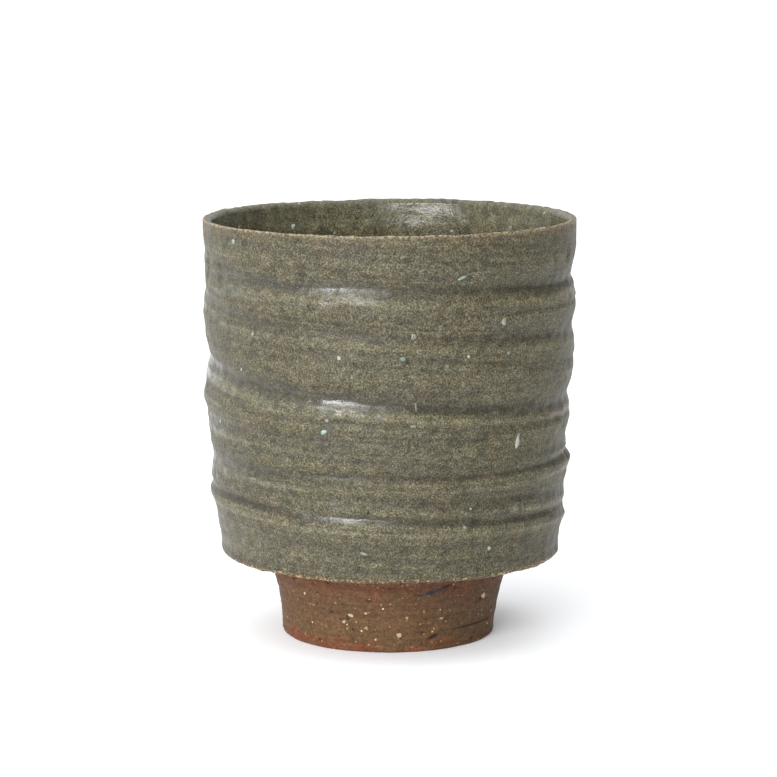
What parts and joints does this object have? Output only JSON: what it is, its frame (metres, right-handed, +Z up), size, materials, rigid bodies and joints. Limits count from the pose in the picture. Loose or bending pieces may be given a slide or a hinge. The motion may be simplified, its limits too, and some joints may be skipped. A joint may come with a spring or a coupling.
{
  "type": "tea cup",
  "caption": "Handleless tea cup: a thrown, ringed wall on a tall bare foot ring, glazed inside and out, with a thin brown lip.",
  "frame": {"origin": "centre of the foot on the surface that the cup stands on", "axes": "+Z up along the cup's axis, -Y towards the front"},
  "size_m": [0.08, 0.08, 0.0905],
  "materials": {
    "body_clay": "bare fired stoneware, rough",
    "foot_clay": "bare fired stoneware, red-brown, trimmed",
    "joint_slip": "bare fired slip, smooth",
    "outer_glaze": "speckled olive-grey, semi-gloss",
    "liner_glaze": "speckled olive-grey, semi-gloss",
    "lip_glaze": "thin, brown, glossy",
    "glaze_grain": "melted white feldspar, glossy",
    "foot_grain": "pale grog, matte"
  },
  "bodies": {
    "root": {"thrown_body": "body_clay", "foot_ring": "foot_clay", "slip_joint": "joint_slip", "outer_glaze": "outer_glaze", "liner_glaze": "liner_glaze", "lip_glaze": "lip_glaze", "glaze_grains": "glaze_grain", "liner_grains": "glaze_grain", "foot_grains": "foot_grain"}
  },
  "joints": []
}
